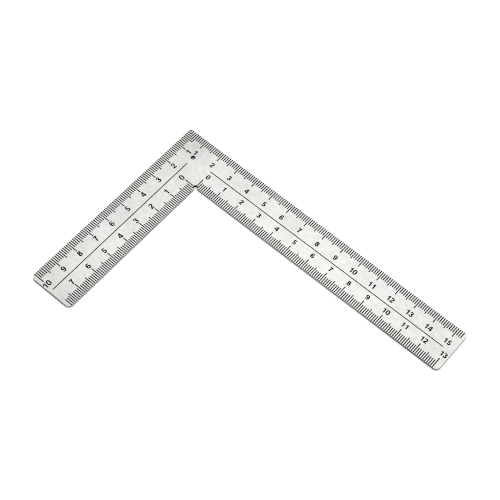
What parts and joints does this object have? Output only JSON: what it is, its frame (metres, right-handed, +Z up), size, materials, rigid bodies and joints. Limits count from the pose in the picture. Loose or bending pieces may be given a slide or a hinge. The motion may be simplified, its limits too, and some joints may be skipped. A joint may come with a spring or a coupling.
{
  "type": "steel square ruler",
  "caption": "Rigid L-shaped steel rule: two flat arms at a right angle, black-filled metric scales on all four long edges, relief hole at the inner corner.",
  "frame": {"origin": "middle of the bounding box in X and Y, on the underside (z = 0); the outer corner of the square is at X = -77.4 mm, Y = +50.95 mm", "axes": "+X along the long arm from the outer corner to its end; -Y along the short arm; +Z up out of the graduated face"},
  "size_m": [0.1548, 0.1018, 0.0017],
  "materials": {
    "blade_steel": "fine satin stainless, frosted against glare",
    "mark_enamel": "baked black enamel, flush in the etched marks"
  },
  "bodies": {
    "root": {"blade": "blade_steel", "corner_mark_1mm": "mark_enamel", "corner_mark_2mm": "mark_enamel", "corner_mark_3mm": "mark_enamel", "corner_mark_4mm": "mark_enamel", "corner_mark_5mm": "mark_enamel", "long_arm_centre_line": "mark_enamel", "long_inner_mark_00cm": "mark_enamel", "long_inner_mark_01cm": "mark_enamel", "long_inner_mark_02cm": "mark_enamel", "long_inner_mark_03cm": "mark_enamel", "long_inner_mark_04cm": "mark_enamel", "long_inner_mark_05cm": "mark_enamel", "long_inner_mark_06cm": "mark_enamel", "long_inner_mark_07cm": "mark_enamel", "long_inner_mark_08cm": "mark_enamel", "long_inner_mark_09cm": "mark_enamel", "long_inner_mark_10cm": "mark_enamel", "long_inner_mark_11cm": "mark_enamel", "long_inner_mark_12cm": "mark_enamel", "long_inner_mark_13cm": "mark_enamel", "long_outer_mark_01cm": "mark_enamel", "long_outer_mark_02cm": "mark_enamel", "long_outer_mark_03cm": "mark_enamel", "long_outer_mark_04cm": "mark_enamel", "long_outer_mark_05cm": "mark_enamel", "long_outer_mark_06cm": "mark_enamel", "long_outer_mark_07cm": "mark_enamel", "long_outer_mark_08cm": "mark_enamel", "long_outer_mark_09cm": "mark_enamel", "long_outer_mark_10cm": "mark_enamel", "long_outer_mark_11cm": "mark_enamel", "long_outer_mark_12cm": "mark_enamel", "long_outer_mark_13cm": "mark_enamel", "long_outer_mark_14cm": "mark_enamel", "long_outer_mark_15cm": "mark_enamel", "short_arm_centre_line": "mark_enamel", "short_inner_mark_00cm": "mark_enamel", "short_inner_mark_01cm": "mark_enamel", "short_inner_mark_02cm": "mark_enamel", "short_inner_mark_03cm": "mark_enamel", "short_inner_mark_04cm": "mark_enamel", "short_inner_mark_05cm": "mark_enamel", "short_inner_mark_06cm": "mark_enamel", "short_inner_mark_07cm": "mark_enamel", "short_outer_mark_01cm": "mark_enamel", "short_outer_mark_02cm": "mark_enamel", "short_outer_mark_03cm": "mark_enamel", "short_outer_mark_04cm": "mark_enamel", "short_outer_mark_05cm": "mark_enamel", "short_outer_mark_06cm": "mark_enamel", "short_outer_mark_07cm": "mark_enamel", "short_outer_mark_08cm": "mark_enamel", "short_outer_mark_09cm": "mark_enamel", "short_outer_mark_10cm": "mark_enamel"}
  },
  "joints": []
}
